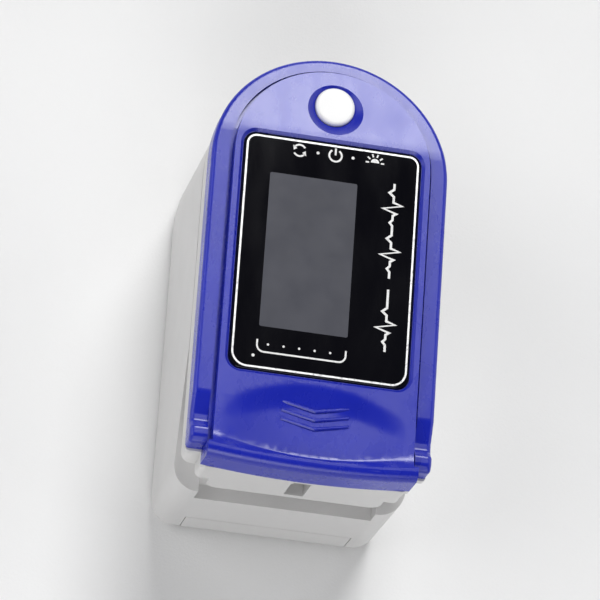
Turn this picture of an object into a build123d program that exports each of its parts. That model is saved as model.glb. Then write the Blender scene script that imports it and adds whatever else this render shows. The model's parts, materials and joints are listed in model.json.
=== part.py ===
from build123d import *
import os

# Fingertip pulse oximeter, in millimetres.
# +Z is up, +Y points to the round end where the finger goes in, and -Y is the end that is pressed.
# The origin is the centre of the underside.

# Overall size
LENGTH = 57.0
WIDTH = 31.0
HEIGHT = 32.0
NOSE = LENGTH / 2
TAIL = -LENGTH / 2
WALL = 1.3
GAP = 0.1

# Levels from the table up
BAY_FLOOR = 1.65
CELL_AXIS_Z = 7.3
TRAY_BOTTOM = 13.2
TRAY_FLOOR = 14.4
TRAY_DECK = 20.4
LOWER_RIM = 22.1
UPPER_RIM = 22.4
CORE_TOP = 23.2
UPPER_FLOOR = 23.9
UPPER_FLOOR_TOP = 25.1
COVER_BOTTOM = 27.2
RAIL_TOP = 30.2
RAIL_NOSE = 29.1
PLATEAU_TOP = 31.4
PLATEAU_NOSE = 30.1

# Top cover
SHOULDER_Y = 16.8
PLATEAU_HALF = 12.8
PLATEAU_END = 26.3
GROOVE = 0.45
GROOVE_FLOOR = 29.7
BAR_HALF = 13.4
BAR_START = -26.0
BAR_BULGE = 0.7
RAIL_TAIL = -25.9
RAIL_EASE = 0.6
RIDGE_EASE = 1.2
COVER_WALL = 1.5
RAIL_CEILING = 27.9
PLATEAU_CEILING = 29.0

# Display window, glass and screen
WINDOW_WIDTH = 23.2
WINDOW_LENGTH = 32.0
WINDOW_Y = 0.1
WINDOW_THICK = 1.0
WINDOW_TOP = 31.2
WINDOW_RADIUS = 1.6
TAPE = 0.2
DISPLAY_WIDTH = 19.3
DISPLAY_LENGTH = 26.7
DISPLAY_THICK = 1.4
DISPLAY_X = -0.45
DISPLAY_Y = 0.45
DISPLAY_BOTTOM = 28.55

# Thumb scoop behind the window, which climbs to the rear ridge
SCOOP_START = -16.2
SCOOP_FRONT = -17.0
SCOOP_FRONT_SAG = 3.2
SCOOP_HALF = 11.8
SCOOP_RUN = 3.0
SCOOP_DEPTH = 0.75
FOOT_Y = -26.2
FOOT_SAG = 1.9
CREST_Y = -27.2
CREST_SAG = 0.35
MARK_HALF = 4.4
MARK_DROP = 0.9
MARK_LINE = 0.42
MARK_START = -19.1
MARK_STEP = 1.15
MARK_HEIGHT = 0.3
MARK_BEVEL = 0.14

# Power button
BUTTON_Y = WINDOW_Y + WINDOW_LENGTH / 2 + 5.35
BUTTON_RADIUS = 2.6
BUTTON_TOP = 30.75
BUTTON_FLANGE = 0.3
DISH_RADIUS = 3.7
DISH_DEPTH = 1.3
RUNNING_FIT = 0.06

# Circuit board
BOARD_BOTTOM = 27.2
BOARD_THICK = 1.0
BOARD_HALF = 11.9
BOARD_TAIL = -18.8

# Screws
SCREW_RADIUS = 0.7
PILOT_RADIUS = 0.72
CLEAR_RADIUS = 0.8
SCREW_BITE = 0.5
BOSS_RADIUS = 1.9
BOARD_BOSS_RADIUS = 1.5
TRAY_SCREW_TIP = 8.5

# Switch under the button
SWITCH_HALF = 2.2
PLUNGER_RADIUS = 0.8

# Hinge
HINGE_Y = -10.5
HINGE_Z = 17.5
PIN_RADIUS = 0.8
LUG_RADIUS = 2.2
LUG_INNER = 9.7
LUG_OUTER = 11.9
SPRING_WIRE = 0.6
SPRING_RADIUS = 1.4
SPRING_PITCH = 0.72
SPRING_TURNS = 4
SPRING_X = 5.0
SPRING_LOWER_ANGLE = 12.0
SPRING_UPPER_ANGLE = 36.0
SPRING_LOWER_LEG = 6.2
SPRING_UPPER_LEG = 8.2

# Jaw shells
SHELL_HALF = 15.1
SHELL_NOSE = 28.1
SHELL_TAIL = -28.0
TONGUE_HALF = 11.3
TONGUE_BOTTOM = 19.3
TONGUE_SHELF = 14.0
STEP_HALF = 13.2
STEP_TAIL = -26.2
CORE_HALF = 13.4
RIM_HEIGHT = 1.1
RIM_GAP = 0.06
CORE_TAIL = -24.6
CORE_CENTRE_HALF = 11.5
CORE_CENTRE_TAIL = -26.1
CORE_FRONT = -8.0
BAY_HALF_REAR = 12.1
BAY_CORNER_TAIL = -23.4
BAY_TAIL = -24.9
BOTTOM_RADIUS = 2.0
MOUTH_HALF = 9.0
TROUGH_HALF = 8.9
LANYARD_WIDTH = 2.5
LANYARD_LOW = 20.3
LANYARD_HIGH = 26.6

# Finger pads
PAD_HALF = 8.4
PAD_TAIL = -5.6
PAD_THICK = 2.9
HOLLOW_RADIUS = 9.6
HOLLOW_SINK = 1.6

# Battery door
DOOR_HALF = 10.95
DOOR_FRONT = 23.0
DOOR_THICK = 1.4
DOOR_LIFT = 0.15
DOOR_LIP = 0.75
DOOR_LIP_LOW = 0.75
DOOR_LIP_FRONT = 9.0
DOOR_REAR_HEIGHT = 5.6
DOOR_REAR_THICK = 1.5

# AAA cell
CELL_RADIUS = 5.25
CELL_LENGTH = 44.5
CELL_NOSE = 23.9
CELL_NUB = 0.9
LABEL_THICK = 0.15

# Optical pair
SENSOR_Y = 5.0
SENSOR_WIDTH = 6.0
SENSOR_LENGTH = 5.0


def block(x0, x1, y0, y1, z0, z1):
    """Box between two corners."""
    box = Box(x1 - x0, y1 - y0, z1 - z0)
    return Pos((x0 + x1) / 2, (y0 + y1) / 2, (z0 + z1) / 2) * box


def post(x, y, radius, bottom, top):
    """Upright cylinder."""
    return Pos(x, y, (bottom + top) / 2) * Cylinder(radius, top - bottom)


def axle(y, z, radius, x0, x1):
    """Cylinder along X."""
    return Pos((x0 + x1) / 2, y, z) * Rot(0, 90, 0) * Cylinder(radius, x1 - x0)


def barrel(x, z, radius, y0, y1):
    """Cylinder along Y."""
    return Pos(x, (y0 + y1) / 2, z) * Rot(90, 0, 0) * Cylinder(radius, y1 - y0)


def slab(plan, bottom, top):
    """Plan outline raised between two levels."""
    return Pos(0, 0, bottom) * extrude(plan, amount=top - bottom)


def arch_plan(half_width, nose, tail, tail_radius):
    """Straight sides, a round nose and rounded tail corners."""
    centre = nose - half_width
    body = Pos(0, (centre + tail) / 2) * Rectangle(2 * half_width, centre - tail)
    body = fillet(body.vertices().group_by(Axis.Y)[0], tail_radius)
    return body + Pos(0, centre) * Circle(half_width)


def side_prism(points, half_width, rounds=()):
    """Profile of (y, z) points extruded across the width; rounds are (index, radius) of its corners."""
    face = make_face(Plane.YZ * Polyline(*points, close=True))
    for index, radius in rounds:
        corner = Vector(0, points[index][0], points[index][1])
        face = fillet(face.vertices().sort_by_distance(corner)[0], radius)
    return extrude(face, amount=half_width, both=True)


def both_sides(make, *args):
    """The same piece on the left and on the right."""
    right = make(*args)
    return right + mirror(right, Plane.YZ)


def screw(x, y, head_base, tip, head_radius=1.4, head_height=0.9):
    """Pan-head screw on the Z axis with a cross recess; tip above head_base means it points up."""
    up = 1 if tip > head_base else -1
    low, high = sorted((head_base, tip))
    head_low, head_high = sorted((head_base, head_base - up * head_height))
    body = post(x, y, SCREW_RADIUS, low, high) + post(x, y, head_radius, head_low, head_high)
    face = head_base - up * head_height
    recess_low, recess_high = sorted((face, face + up * 0.5))
    for wide, deep in ((1.7, 0.4), (0.4, 1.7)):
        body -= block(x - wide / 2, x + wide / 2, y - deep / 2, y + deep / 2, recess_low, recess_high)
    return body


def screws(places, head_base, tip):
    """Set of equal screws as one piece."""
    return group([screw(x, y, head_base, tip) for x, y in places])


# ---------------------------------------------------------------- outlines

COVER_SCREWS = [(x, y) for x in (-11.0, 11.0) for y in (15.2, -4.0)]
BOARD_SCREWS = [(-8.4, 19.2), (8.4, 19.2), (0.0, -17.0)]
TRAY_SCREWS = [(x, y) for x in (-11.3, 11.3) for y in (14.6, -5.2)]


def upper_plan(inset):
    """Outline of the upper jaw shell: the tail steps out over the middle."""
    plan = arch_plan(SHELL_HALF - inset, SHELL_NOSE - inset, STEP_TAIL + inset, 1.2)
    middle = 2 * (STEP_HALF - inset)
    depth = STEP_TAIL - SHELL_TAIL + 4.0
    step = Pos(0, SHELL_TAIL + inset + depth / 2) * Rectangle(middle, depth)
    return plan + fillet(step.vertices().group_by(Axis.Y)[0], 0.8)


def bar_plan():
    """Rear bar of the cover, with its slightly bowed rear edge."""
    back = TAIL + BAR_BULGE
    outline = Polyline((-BAR_HALF, back), (-BAR_HALF, BAR_START), (BAR_HALF, BAR_START), (BAR_HALF, back))
    bow = ThreePointArc((BAR_HALF, back), (0, TAIL), (-BAR_HALF, back))
    return make_face(outline + bow)


def mouth():
    """Rounded opening for the finger at the nose, shared by both jaws."""
    centre_z = (TRAY_FLOOR + UPPER_FLOOR) / 2
    opening = Plane.XZ * Pos(0, centre_z) * RectangleRounded(2 * MOUTH_HALF, UPPER_FLOOR - TRAY_FLOOR, 1.5)
    return Pos(0, NOSE + 1, 0) * extrude(opening, amount=NOSE + 1 - 20)


def finger_pad(bottom, hollow_z):
    """Soft pad between the jaws, with a round hollow for the finger on the side of hollow_z."""
    pad = block(-PAD_HALF, PAD_HALF, PAD_TAIL, NOSE, bottom, bottom + PAD_THICK)
    back = 0 if hollow_z > bottom else -1
    pad = chamfer(pad.edges().filter_by(Axis.Y).group_by(Axis.Z)[back], 0.7)
    pad = fillet(pad.edges().filter_by(Axis.Z).group_by(Axis.Y)[0], 3.2)
    pad = pad & slab(arch_plan(SHELL_HALF - 0.5, SHELL_NOSE - 0.5, PAD_TAIL, 0.3), bottom, bottom + PAD_THICK)
    pad -= barrel(0, hollow_z, HOLLOW_RADIUS, PAD_TAIL - 1, NOSE + 1)
    return pad - optical_hole(bottom, bottom + PAD_THICK)


def optical_hole(bottom, top):
    """Rectangular way for the light."""
    half, deep = SENSOR_WIDTH / 2, SENSOR_LENGTH / 2
    return block(-half, half, SENSOR_Y - deep, SENSOR_Y + deep, bottom, top)


def optical_plate(bottom, top, inset):
    """Rectangular plate that fits inside the optical hole."""
    half = SENSOR_WIDTH / 2 - inset
    deep = SENSOR_LENGTH / 2 - inset
    return block(-half, half, SENSOR_Y - deep, SENSOR_Y + deep, bottom, top)


def optical_board(bottom, top):
    """Small board behind the light source or the light sensor."""
    half, deep = SENSOR_WIDTH / 2 + 1.6, SENSOR_LENGTH / 2 + 1.1
    return block(-half, half, SENSOR_Y - deep, SENSOR_Y + deep, bottom, top)


# ---------------------------------------------------------------- upper jaw

def cover_outside():
    """Rails round the edge, a groove, and the plateau that carries the window, the scoop and the rear bar."""
    rail_profile = [
        (NOSE + 0.1, COVER_BOTTOM),
        (NOSE + 0.1, RAIL_NOSE),
        (SHOULDER_Y, RAIL_TOP),
        (-19.2, RAIL_TOP),
        (-21.9, RAIL_TOP - 0.9),
        (-22.9, RAIL_TOP - 0.9),
        (-23.9, RAIL_TOP),
        (-25.0, RAIL_TOP),
        (RAIL_TAIL - 0.1, RAIL_TOP - 0.6),
        (RAIL_TAIL - 0.1, COVER_BOTTOM),
    ]
    rail_rounds = [(2, 12.0), (3, 2.0), (4, 0.8), (6, 0.6), (7, 0.9)]
    rails = slab(arch_plan(WIDTH / 2, NOSE, RAIL_TAIL, 0.5), COVER_BOTTOM, HEIGHT)
    rails = rails & side_prism(rail_profile, WIDTH, rail_rounds)
    rails = fillet([edge for edge in rails.edges() if edge.bounding_box().min.Z > RAIL_NOSE - 0.9], RAIL_EASE)
    inner = arch_plan(PLATEAU_HALF + GROOVE, PLATEAU_END + GROOVE, RAIL_TAIL - 1, 0.3)
    drop = RAIL_TOP - GROOVE_FLOOR
    rails -= slab(inner, COVER_BOTTOM, HEIGHT)
    groove_profile = [(y, z - drop) for y, z in rail_profile[1:3]] + [(RAIL_TAIL, GROOVE_FLOOR)]
    groove_profile = [(NOSE + 0.1, COVER_BOTTOM), *groove_profile, (RAIL_TAIL, COVER_BOTTOM)]
    rails += slab(inner, COVER_BOTTOM, HEIGHT) & side_prism(groove_profile, WIDTH)

    plateau_profile = [
        (NOSE, COVER_BOTTOM),
        (NOSE, PLATEAU_NOSE - 0.25),
        (SHOULDER_Y, PLATEAU_TOP),
        (SCOOP_START, PLATEAU_TOP),
        (SCOOP_START, COVER_BOTTOM),
    ]
    plan = arch_plan(PLATEAU_HALF, PLATEAU_END, SCOOP_START, 0.01)
    plateau = slab(plan, COVER_BOTTOM, HEIGHT) & side_prism(plateau_profile, WIDTH, [(2, 12.0)])
    rear = Pos(0, (SCOOP_START + BAR_START) / 2) * Rectangle(2 * PLATEAU_HALF, SCOOP_START - BAR_START)
    bar = slab(rear + bar_plan(), COVER_BOTTOM, HEIGHT)
    bar = fillet(bar.edges().group_by(Axis.Z)[-1].sort_by(Axis.Y)[0], RIDGE_EASE)
    return rails + plateau + (bar - thumb_scoop())


def scoop_level(x, y):
    """Level of the cover behind the window: deepest in the middle, and rising to the ridge."""
    side = abs(x)
    depth = SCOOP_DEPTH * max(0.0, 1 - (side / SCOOP_HALF) ** 2)
    into = (SCOOP_FRONT - SCOOP_FRONT_SAG * (side / SCOOP_HALF) ** 2 - y) / SCOOP_RUN
    into = min(1.0, max(0.0, into)) ** 1.6
    level = PLATEAU_TOP - depth * (1 - (1 - into) ** 2)
    foot = FOOT_Y + FOOT_SAG * (side / BAR_HALF) ** 2
    crest = CREST_Y + CREST_SAG * (side / BAR_HALF) ** 2
    climb = (foot - y) / (foot - crest)
    climb = min(1.0, max(0.0, climb)) ** 2
    return level + (HEIGHT + 0.15 - level) * (1 - (1 - climb) ** 2)


def thumb_scoop():
    """Space above the scoop, to cut away."""
    half, rear = BAR_HALF + 0.3, CREST_Y - 0.5
    columns, rows = 54, 72
    grid = []
    for i in range(columns + 1):
        x = -half + 2 * half * i / columns
        line = [SCOOP_START + 0.2 + (rear - SCOOP_START - 0.2) * j / rows for j in range(rows + 1)]
        grid.append([Vector(x, y, scoop_level(x, y)) for y in line])
    surface = Face.make_surface_from_array_of_points(grid, tol=0.001, max_deg=3)
    return extrude(surface, amount=3, dir=(0, 0, 1))


def push_marks():
    """Three wide raised chevrons in the scoop that show where to press."""
    marks = []
    floor = PLATEAU_TOP - SCOOP_DEPTH
    half = MARK_HALF
    for index in range(3):
        front = MARK_START - MARK_STEP * index
        rear = front - MARK_LINE
        ahead = [(-half, front), (0, front - MARK_DROP), (half, front)]
        behind = [(half, rear), (0, rear - MARK_DROP), (-half, rear)]
        mark = slab(make_face(Polyline(*ahead, *behind, close=True)), floor - 0.6, floor + MARK_HEIGHT)
        marks.append(chamfer(mark.edges().group_by(Axis.Z)[-1], MARK_BEVEL))
    return marks


def top_cover():
    """Blue cover."""
    cover = cover_outside()
    for mark in push_marks():
        cover += mark

    hollow = arch_plan(WIDTH / 2 - COVER_WALL, NOSE - COVER_WALL, BAR_START + 0.9, 0.5)
    cover -= slab(hollow, COVER_BOTTOM, RAIL_CEILING)
    bar_hollow = Pos(0, BAR_START) * Rectangle(2 * (BAR_HALF - COVER_WALL), 2.4)
    cover -= slab(bar_hollow, COVER_BOTTOM, RAIL_CEILING)
    deep = arch_plan(PLATEAU_HALF - 0.6, PLATEAU_END - 1.5, BAR_START + 0.9, 0.5)
    cover -= slab(deep, COVER_BOTTOM, PLATEAU_CEILING)

    width, length = WINDOW_WIDTH + 2 * GAP, WINDOW_LENGTH + 2 * GAP
    pocket = Pos(0, WINDOW_Y) * RectangleRounded(width, length, WINDOW_RADIUS + GAP)
    bevel = Pos(0, WINDOW_Y) * RectangleRounded(width + GAP, length + GAP, WINDOW_RADIUS + 1.5 * GAP)
    cover -= slab(pocket, WINDOW_TOP - WINDOW_THICK - TAPE, HEIGHT)
    cover -= Pos(0, 0, PLATEAU_TOP - 0.35) * extrude(bevel, amount=1.0, taper=-45)
    opening = Pos(0, WINDOW_Y) * RectangleRounded(WINDOW_WIDTH - 2.8, WINDOW_LENGTH - 3.0, 0.8)
    cover -= slab(opening, COVER_BOTTOM, HEIGHT)

    dish_ball = (DISH_RADIUS**2 + DISH_DEPTH**2) / (2 * DISH_DEPTH)
    dish_rim = BUTTON_TOP + 0.1
    cover -= Pos(0, BUTTON_Y, dish_rim - DISH_DEPTH + dish_ball) * Sphere(dish_ball)
    cover -= post(0, BUTTON_Y, BUTTON_RADIUS + RUNNING_FIT, COVER_BOTTOM, HEIGHT)

    for x, y in COVER_SCREWS:
        cover += post(x, y, BOSS_RADIUS, UPPER_FLOOR_TOP, RAIL_CEILING + SCREW_BITE)
        cover -= post(x, y, PILOT_RADIUS, UPPER_FLOOR_TOP, RAIL_CEILING + SCREW_BITE + GAP)
    for x, y in BOARD_SCREWS:
        cover += post(x, y, BOARD_BOSS_RADIUS, BOARD_BOTTOM + BOARD_THICK, PLATEAU_CEILING + GAP)
        cover -= post(x, y, PILOT_RADIUS, BOARD_BOTTOM, PLATEAU_CEILING + SCREW_BITE + GAP / 2)
    return cover


def display_window():
    """Glossy window over the screen."""
    plan = Pos(0, WINDOW_Y) * RectangleRounded(WINDOW_WIDTH, WINDOW_LENGTH, WINDOW_RADIUS)
    window = slab(plan, WINDOW_TOP - WINDOW_THICK, WINDOW_TOP)
    return chamfer(window.edges().group_by(Axis.Z)[-1], 0.12)


def window_tape():
    """Adhesive frame under the window."""
    outer = RectangleRounded(WINDOW_WIDTH - 0.2, WINDOW_LENGTH - 0.2, WINDOW_RADIUS)
    inner = RectangleRounded(WINDOW_WIDTH - 2.6, WINDOW_LENGTH - 2.8, 0.9)
    bottom = WINDOW_TOP - WINDOW_THICK - TAPE
    return slab(Pos(0, WINDOW_Y) * (outer - inner), bottom, bottom + TAPE)


def display_glass():
    """Display: a glass plate with a shorter cover plate on it."""
    half, deep = DISPLAY_WIDTH / 2, DISPLAY_LENGTH / 2
    back = block(-half, half, -deep, deep, 0, DISPLAY_THICK / 2)
    front = block(-half, half - 3.4, -deep, deep, DISPLAY_THICK / 2, DISPLAY_THICK)
    return Pos(DISPLAY_X, DISPLAY_Y, DISPLAY_BOTTOM) * (back + front)


def display_flex():
    """Ribbon from the edge of the glass down to the board."""
    right = DISPLAY_X + DISPLAY_WIDTH / 2
    low = BOARD_BOTTOM + BOARD_THICK
    top = DISPLAY_BOTTOM + DISPLAY_THICK / 2 + 0.15
    rear, front = -1.0, 9.0
    over = block(right - 2.2, right + 0.5, rear, front, top - 0.15, top)
    down = block(right + 0.35, right + 0.5, rear, front, low, top)
    foot = block(right + 0.35, right + 1.3, rear, front, low, low + 0.15)
    return over + down + foot


def display_foam():
    """Foam that holds the display off the board."""
    low = BOARD_BOTTOM + BOARD_THICK
    return block(DISPLAY_X - 7.5, DISPLAY_X + 7.5, DISPLAY_Y - 10.5, DISPLAY_Y + 10.5, low, DISPLAY_BOTTOM)


def power_button():
    """Round button with a flange that keeps it in the cover."""
    flange_top = PLATEAU_CEILING - 0.05
    cap = post(0, BUTTON_Y, BUTTON_RADIUS, flange_top - BUTTON_FLANGE, BUTTON_TOP)
    cap = fillet(cap.edges().group_by(Axis.Z)[-1], 0.45)
    return cap + post(0, BUTTON_Y, BUTTON_RADIUS + 0.5, flange_top - BUTTON_FLANGE, flange_top)


def switch_plunger():
    """Plunger of the switch, which travels with the button."""
    top = PLATEAU_CEILING - 0.05 - BUTTON_FLANGE
    foot = BOARD_BOTTOM + BOARD_THICK - 0.45
    return post(0, BUTTON_Y, PLUNGER_RADIUS, foot, top)


def power_switch():
    """Tactile switch under the button: its case drops through the board."""
    top = BOARD_BOTTOM + BOARD_THICK
    half = SWITCH_HALF
    case = block(-half, half, BUTTON_Y - half, BUTTON_Y + half, BOARD_BOTTOM - 1.1, top - 0.35)
    return case - post(0, BUTTON_Y, PLUNGER_RADIUS + RUNNING_FIT, BOARD_BOTTOM - 0.6, top)


def main_board():
    """Circuit board, notched round the cover's bosses and cut away for the switch."""
    plan = arch_plan(BOARD_HALF, PLATEAU_END - 2.0, BOARD_TAIL, 1.0)
    board = slab(plan, BOARD_BOTTOM, BOARD_BOTTOM + BOARD_THICK)
    for x, y in COVER_SCREWS:
        board -= post(x, y, BOSS_RADIUS + 0.2, BOARD_BOTTOM, BOARD_BOTTOM + BOARD_THICK)
    for x, y in BOARD_SCREWS:
        board -= post(x, y, CLEAR_RADIUS, BOARD_BOTTOM, BOARD_BOTTOM + BOARD_THICK)
    half = SWITCH_HALF + GAP
    rear, front = BUTTON_Y - half, BUTTON_Y + half
    return board - block(-half, half, rear, front, BOARD_BOTTOM, BOARD_BOTTOM + BOARD_THICK)


def chip(x, y, width, length, height):
    """Component on the underside of the board."""
    return Pos(x, y, BOARD_BOTTOM - height / 2) * Box(width, length, height)


def board_chips():
    """Processor, amplifier, regulator and passives under the board."""
    chips = [chip(-4.0, 9.5, 7.0, 7.0, 1.0), chip(4.6, 12.0, 5.0, 4.0, 1.0), chip(5.0, -6.0, 3.0, 3.0, 0.9)]
    chips += [chip(-7.5 + 1.7 * index, 2.6, 0.8, 1.6, 0.5) for index in range(4)]
    chips += [chip(4.0 + 1.7 * index, 6.6, 0.8, 1.6, 0.5) for index in range(3)]
    return chips


def board_inductor():
    """Coil of the voltage booster."""
    return chip(-4.6, -6.0, 4.0, 4.0, 1.6)


def board_crystal():
    """Metal can of the clock crystal."""
    plan = Pos(4.6, 1.2) * RectangleRounded(5.0, 2.2, 0.9)
    return slab(plan, BOARD_BOTTOM - 1.2, BOARD_BOTTOM)


def upper_shell():
    """Light shell of the upper jaw: skirt, finger-side floor, rear tongue and hinge lugs."""
    shell = slab(upper_plan(0), UPPER_RIM, COVER_BOTTOM)
    rim = arch_plan(WIDTH / 2 - RIM_GAP, NOSE - RIM_GAP, STEP_TAIL, 0.5) + Pos(0, RIM_GAP) * bar_plan()
    shell += slab(rim, COVER_BOTTOM - RIM_HEIGHT, COVER_BOTTOM)
    shell -= slab(upper_plan(WALL), UPPER_RIM, COVER_BOTTOM)
    tongue = block(-TONGUE_HALF, TONGUE_HALF, SHELL_TAIL, SHELL_TAIL + 1.7, TONGUE_BOTTOM, UPPER_FLOOR)
    lowest = tongue.edges().filter_by(Axis.Y).group_by(Axis.Z)[0]
    shell += fillet(lowest, 1.6)

    floor = arch_plan(SHELL_HALF - WALL, SHELL_NOSE - WALL, HINGE_Y - 3.0, 0.5)
    shell += slab(floor, UPPER_FLOOR, UPPER_FLOOR_TOP) & block(-20, 20, CORE_FRONT + 0.6, 30, 0, HEIGHT)
    shell += block(-11.7, 11.7, -17.0, CORE_FRONT + 1.0, UPPER_FLOOR, UPPER_FLOOR_TOP)
    shell -= mouth()
    shell -= optical_hole(UPPER_FLOOR, UPPER_FLOOR_TOP)
    for x, y in COVER_SCREWS:
        shell -= post(x, y, CLEAR_RADIUS, UPPER_FLOOR, UPPER_FLOOR_TOP)

    def lug():
        rear, front = HINGE_Y - LUG_RADIUS, HINGE_Y + LUG_RADIUS
        web = block(LUG_INNER, LUG_OUTER - 0.2, rear, front, HINGE_Z, UPPER_FLOOR)
        return web + axle(HINGE_Y, HINGE_Z, LUG_RADIUS, LUG_INNER, LUG_OUTER)

    shell += both_sides(lug)
    shell -= axle(HINGE_Y, HINGE_Z, PIN_RADIUS + RUNNING_FIT, -SHELL_HALF, SHELL_HALF)

    half = LANYARD_WIDTH / 2
    shell -= block(-half, half, SHELL_TAIL - 1, SHELL_TAIL + 3, LANYARD_LOW, LANYARD_HIGH)
    middle = (LANYARD_LOW + LANYARD_HIGH) / 2
    bar = block(-half, half, SHELL_TAIL + 0.8, SHELL_TAIL + 1.7, middle - 0.5, middle + 0.5)
    return shell + bar


# ---------------------------------------------------------------- lower jaw

def lower_core():
    """Narrower rear part of the lower housing, which the upper shell closes over."""
    sides = Pos(0, (CORE_TAIL + CORE_FRONT) / 2) * Rectangle(2 * CORE_HALF, CORE_FRONT - CORE_TAIL)
    depth = CORE_FRONT - CORE_CENTRE_TAIL
    middle = Pos(0, CORE_CENTRE_TAIL + depth / 2) * Rectangle(2 * CORE_CENTRE_HALF, depth)
    return sides + middle


def lower_housing():
    """Lower housing: battery bay below, open top, and a rear that drops away for the press stroke."""
    body = slab(arch_plan(SHELL_HALF, SHELL_NOSE, SHELL_TAIL, 3.2), 0, LOWER_RIM)
    body = fillet(body.edges().group_by(Axis.Z)[0], BOTTOM_RADIUS)
    stroke = [(-11.0, LOWER_RIM + 2), (-11.0, 21.9), (SHELL_TAIL - 1, 16.6), (SHELL_TAIL - 1, LOWER_RIM + 2)]
    body -= side_prism(stroke, WIDTH)
    body += slab(lower_core(), TRAY_BOTTOM - 4, CORE_TOP)
    body -= block(-TONGUE_HALF - 0.3, TONGUE_HALF + 0.3, TAIL, CORE_CENTRE_TAIL, TONGUE_SHELF, CORE_TOP)

    floor_top = BAY_FLOOR + 1.1
    body -= slab(arch_plan(SHELL_HALF - WALL, SHELL_NOSE - WALL, CORE_FRONT, 0.3), floor_top, HEIGHT)
    body -= block(-BAY_HALF_REAR, BAY_HALF_REAR, BAY_CORNER_TAIL, CORE_FRONT + 1, floor_top, HEIGHT)
    body -= block(-BAY_HALF_REAR + 1.9, BAY_HALF_REAR - 1.9, BAY_TAIL, CORE_FRONT, floor_top, HEIGHT)
    body -= mouth()
    body -= block(-1.9, 1.9, CORE_CENTRE_TAIL, CORE_CENTRE_TAIL + 0.6, TONGUE_SHELF, CORE_TOP)

    for x, y in TRAY_SCREWS:
        body += post(x, y, BOSS_RADIUS + GAP, BAY_FLOOR + 1.0, TRAY_BOTTOM)
        body -= post(x, y, PILOT_RADIUS, TRAY_SCREW_TIP - 0.5, TRAY_BOTTOM)
    body += block(-5.2, 5.2, CELL_NOSE + 0.6, CELL_NOSE + 2.0, BAY_FLOOR + 1.0, TRAY_BOTTOM)

    body -= door_way()
    body -= block(-CELL_RADIUS - 0.5, CELL_RADIUS + 0.5, BAY_TAIL + 0.5, CELL_NOSE - 4.5, 0, floor_top)
    body -= barrel(0, CELL_AXIS_Z, CELL_RADIUS + GAP, CELL_NOSE - CELL_LENGTH - 1, CELL_NOSE + 0.3)
    return body - axle(HINGE_Y, HINGE_Z, PIN_RADIUS + 0.02, -CORE_HALF, CORE_HALF)


def door_way():
    """Way for the battery door: its plate, its side lips and its turned-up rear."""
    way = slab(arch_plan(DOOR_HALF + GAP, DOOR_FRONT + GAP, TAIL - 1, 0.1), -1, BAY_FLOOR)
    wide = DOOR_HALF + DOOR_LIP + GAP
    lip_top = DOOR_LIFT + DOOR_THICK - 0.1
    way += block(-wide, wide, TAIL - 1, DOOR_LIP_FRONT + GAP, DOOR_LIP_LOW - GAP, lip_top + GAP)
    rear_face = SHELL_TAIL + DOOR_REAR_THICK + GAP
    return way + block(-DOOR_HALF - GAP, DOOR_HALF + GAP, TAIL - 1, rear_face, -1, DOOR_REAR_HEIGHT + GAP)


def battery_door():
    """Sliding door with side lips, a turned-up rear and grooves for the thumb."""
    top = DOOR_LIFT + DOOR_THICK
    door = slab(arch_plan(DOOR_HALF, DOOR_FRONT, SHELL_TAIL, 0.1), DOOR_LIFT, top)
    wide = DOOR_HALF + DOOR_LIP
    door += block(-wide, wide, SHELL_TAIL + 1.5, DOOR_LIP_FRONT, DOOR_LIP_LOW, top - 0.1)
    rear_face = SHELL_TAIL + DOOR_REAR_THICK
    door += block(-DOOR_HALF, DOOR_HALF, SHELL_TAIL, rear_face, DOOR_LIFT, DOOR_REAR_HEIGHT)
    rear_edge = door.edges().filter_by(Axis.X).group_by(Axis.Z)[0].sort_by(Axis.Y)[0]
    door = fillet(rear_edge, BOTTOM_RADIUS - 0.3)
    for index in range(5):
        door -= axle(-21.0 + 1.6 * index, DOOR_LIFT - 0.25, 0.6, -5.0, 5.0)
    return door


def lower_tray():
    """Finger-side shell of the lower jaw: deck, finger trough, rear stop and a low rear plate."""
    half = SHELL_HALF - WALL - GAP
    nose = SHELL_NOSE - WALL - GAP
    stop = CORE_FRONT + 0.6
    tray = slab(arch_plan(half, nose, stop, 0.3), TRAY_BOTTOM, TRAY_DECK)
    tray += block(-11.0, 11.0, stop, stop + 1.2, TRAY_FLOOR, TRAY_DECK + 0.8)
    trough = block(-TROUGH_HALF, TROUGH_HALF, stop + 1.2, NOSE, TRAY_FLOOR, HEIGHT)
    tray -= fillet(trough.edges().filter_by(Axis.Z).group_by(Axis.Y)[0], 3.0)
    tray += block(-11.9, 11.9, BAY_CORNER_TAIL + GAP, stop, TRAY_BOTTOM, TRAY_FLOOR)
    tray -= optical_hole(TRAY_BOTTOM, TRAY_FLOOR)

    def core_out():
        return block(TROUGH_HALF + 1.2, half - 1.2, -2.0, 11.4, TRAY_BOTTOM, TRAY_DECK - 1.2)

    tray -= both_sides(core_out)
    for x, y in TRAY_SCREWS:
        tray -= post(x, y, CLEAR_RADIUS, TRAY_BOTTOM, TRAY_DECK)
        tray -= post(x, y, 1.5, TRAY_DECK - 1.0, TRAY_DECK)
    return tray


def battery_can():
    """Steel can of the AAA cell with its positive nub."""
    start = CELL_NOSE - CELL_LENGTH
    can = barrel(0, CELL_AXIS_Z, CELL_RADIUS - LABEL_THICK, start, CELL_NOSE - CELL_NUB)
    nub = barrel(0, CELL_AXIS_Z, 1.9, CELL_NOSE - CELL_NUB, CELL_NOSE)
    return can + fillet(nub.edges().group_by(Axis.Y)[-1], 0.3)


def battery_label():
    """Printed sleeve round the cell."""
    start = CELL_NOSE - CELL_LENGTH + 0.4
    end = CELL_NOSE - CELL_NUB - 0.4
    sleeve = barrel(0, CELL_AXIS_Z, CELL_RADIUS, start, end)
    return sleeve - barrel(0, CELL_AXIS_Z, CELL_RADIUS - LABEL_THICK, start, end)


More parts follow.
